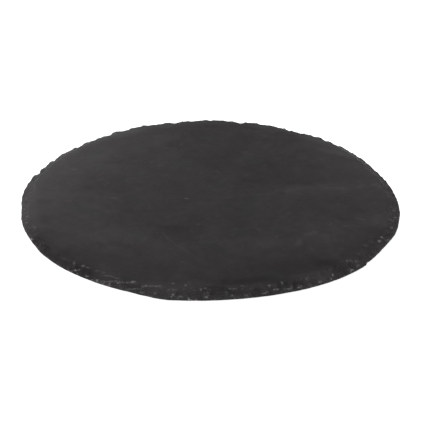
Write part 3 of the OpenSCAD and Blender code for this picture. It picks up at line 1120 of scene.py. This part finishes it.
def slate_material():
    """Slate: riven, bared, dusty or crushed, as the mesh's marks say, with painted light and
    shade in its tone and painted glints among its crushed spots.
    """
    material, tree, shader = new_material("slate")
    place = coordinates(tree)
    cloud = noise_node(tree, place, *CLOUD_NOISE)
    colour = ramp_node(tree, cloud, CLOUD_STOPS)
    for scale, detail, level, gain, fleck in FLECKS:
        shown = steep(tree, noise_node(tree, place, scale, detail), level, gain)
        colour = mix_colour(tree, shown, colour, fleck)
    colour = streaked(tree, place, colour)

    fresh = ramp_node(tree, noise_node(tree, place, *FRESH_NOISE), FRESH_STOPS)
    colour = mix_colour(tree, attribute(tree, "fresh"), colour, fresh)
    # Layers laid bare: each a shade apart, with a crisp ragged outline
    colour = mix_colour(tree, 1.0, colour, layer_shades(tree, place), "MULTIPLY")

    colour = mix_colour(tree, attribute(tree, "dust"), colour, DUST_AND_SHEEN_GREY)
    tone_and_light = attribute(tree, "tone_and_light")
    # Pale places greyed: dust, and painted sheen where the paleness is painted light
    pale_greyed = maths(tree, "MULTIPLY", tone_and_light, PALE_GREYING, clamp=True)
    colour = mix_colour(tree, pale_greyed, colour, DUST_AND_SHEEN_GREY)
    # The tone brightens or darkens the colour, its painted light and shade included
    brightness = maths(tree, "ADD", tone_and_light, 1.0)
    colour = vector_maths(tree, "SCALE", colour, None, None, brightness)

    # Crushed spots and painted glints, broken up into specks
    specks = steep(tree, noise_node(tree, place, *SPECK_NOISE), SPECK_LEVEL, SPECK_GAIN)
    bruise_and_glint = maths(tree, "MULTIPLY", attribute(tree, "bruise_and_glint"), specks, clamp=True)
    bruise_and_glint = maths(tree, "MULTIPLY", bruise_and_glint, BRUISE_AND_GLINT_GAIN, clamp=True)
    colour = mix_colour(tree, bruise_and_glint, colour, BRUISE_AND_GLINT)
    tree.links.new(colour, shader.inputs["Base Color"])

    tree.links.new(ramp_node(tree, cloud, ROUGH_STOPS), shader.inputs["Roughness"])
    shader.inputs["Specular IOR Level"].default_value = SLATE_SHINE
    normal = None
    for grain, strength, depth in GRAINS:
        normal = bump(tree, noise_node(tree, place, *grain), strength, depth, normal)
    tree.links.new(normal, shader.inputs["Normal"])
    return material


# Foam and adhesive film: noise scale, noise levels and their colours, roughness
FOAM = (300, [(0.3, (0.010, 0.010, 0.011)), (0.7, (0.020, 0.020, 0.021))], 0.85)
FILM = (400, [(0.3, (0.55, 0.50, 0.38)), (0.7, (0.68, 0.64, 0.52))], 0.4)
# The foam's cells: how many per metre, and how deep
CELLS, CELL_DEPTH = 2600, 0.15 * MM


def mottled_material(name, scale, stops, rough):
    """A plain material of two blended colours, with its tree, shader and place."""
    material, tree, shader = new_material(name)
    place = coordinates(tree)
    colour = ramp_node(tree, noise_node(tree, place, scale), stops)
    tree.links.new(colour, shader.inputs["Base Color"])
    shader.inputs["Roughness"].default_value = rough
    return material, tree, shader, place


def foam_material():
    """Fine black foam, with its open cells as bumps."""
    material, tree, shader, place = mottled_material("foam", *FOAM)
    cells = tree.nodes.new("ShaderNodeTexVoronoi")
    cells.inputs["Scale"].default_value = CELLS
    tree.links.new(place, cells.inputs["Vector"])
    normal = bump(tree, cells.outputs["Distance"], 0.5, CELL_DEPTH)
    tree.links.new(normal, shader.inputs["Normal"])
    return material


# Feet

FOOT_SIDES = 96
# From the top of a foot to its underside: share of the radius, share of the height
FOOT_PROFILE = [
    (0.35, 1.0), (0.955, 1.0), (0.985, 0.975), (0.997, 0.9), (0.99, 0.72), (0.986, 0.5),
    (0.992, 0.3), (0.997, 0.1), (0.985, 0.03), (0.955, 0.0), (0.8, 0.0), (0.35, 0.0),
]


def build_foot(corner):
    """A die-cut foam disc: pressed edges and a side drawn in by the cut."""
    low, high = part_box("foot_" + corner)
    middle, radius, height = (low + high) / 2, (high.x - low.x) / 2, high.z - low.z
    turn = np.arange(FOOT_SIDES) * 2 * math.pi / FOOT_SIDES
    c, s = np.cos(turn), np.sin(turn)
    rings = Rings()
    for r_share, z_share in FOOT_PROFILE:
        r, z = radius * r_share, low.z + height * z_share
        ring = np.stack([middle.x + r * c, middle.y + r * s, np.full(FOOT_SIDES, z)], 1)
        rings.add(ring, np.zeros((FOOT_SIDES, len(MARKS))))
    rings.close(middle.x, middle.y, low.z)
    rings.turn_over(FOOT_SIDES)
    rings.close(middle.x, middle.y, high.z)
    return mesh_object("foam_foot_" + corner, rings)


# Stage and light

# Half the table's side
FLOOR_HALF = 12.0
# The table lies this far under the feet, so that the two faces don't coincide
FLOOR_GAP = 0.02 * MM
# The table's looks, with a glow that keeps it white
FLOOR_LOOKS = {
    "Base Color": (0.9, 0.9, 0.9, 1),
    "Roughness": 0.9,
    "Specular IOR Level": 0.1,
    "Emission Color": (1, 1, 1, 1),
    "Emission Strength": 0.93,
}
# Strength of the light from all sides
WORLD_LIGHT = 0.15
# Lights that shine on the board: name, place and size in metres, power in watts
LIGHTS = [
    ("top", (0, 0.2, 1.8), (1.1, 1.1), 11.8),
    ("back", (-0.55, 1.15, 0.9), (0.4, 0.3), 3.3),
    ("front", (-0.8, -1.2, 1.2), (0.8, 0.8), 10.3),
]


def build_floor():
    """The white table, far wider than the view."""
    mesh = bpy.data.meshes.new("table")
    sides = ((-1, -1), (1, -1), (1, 1), (-1, 1))
    corners = [(x * FLOOR_HALF, y * FLOOR_HALF, -FLOOR_GAP) for x, y in sides]
    mesh.from_pydata(corners, [], [(0, 1, 2, 3)])
    floor = bpy.data.objects.new("table", mesh)
    bpy.context.scene.collection.objects.link(floor)
    material, _, shader = new_material("table")
    for name, value in FLOOR_LOOKS.items():
        shader.inputs[name].default_value = value
    mesh.materials.append(material)


def area_light(name, place, size, power):
    """A rectangular light that is turned towards the origin."""
    data = bpy.data.lights.new(name, "AREA")
    data.shape = "RECTANGLE"
    data.size, data.size_y = size
    data.energy = power
    light = bpy.data.objects.new(name, data)
    light.location = place
    aim = (Vector() - Vector(place)).to_track_quat("-Z", "Y")
    light.rotation_euler = aim.to_euler()
    bpy.context.scene.collection.objects.link(light)


def light_scene():
    """Three soft lights and a faint light from all sides."""
    world = bpy.data.worlds.new("studio")
    world.use_nodes = True
    background = world.node_tree.nodes["Background"]
    background.inputs["Color"].default_value = (1, 1, 1, 1)
    background.inputs["Strength"].default_value = WORLD_LIGHT
    bpy.context.scene.world = world
    for light in LIGHTS:
        area_light(*light)
    bpy.context.scene.view_settings.view_transform = "Standard"


place_camera()
slate = build_slab()
slate.data.materials.append(slate_material())
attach(slate, "root")
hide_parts("slate_slab")

foam = foam_material()
film = mottled_material("adhesive", *FILM)[0]
for corner in CORNERS:
    foot = build_foot(corner)
    foot.data.materials.append(foam)
    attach(foot, "root")
    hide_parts("foot_" + corner)
    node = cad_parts["adhesive_" + corner]
    node.data.materials.clear()
    node.data.materials.append(film)

build_floor()
light_scene()
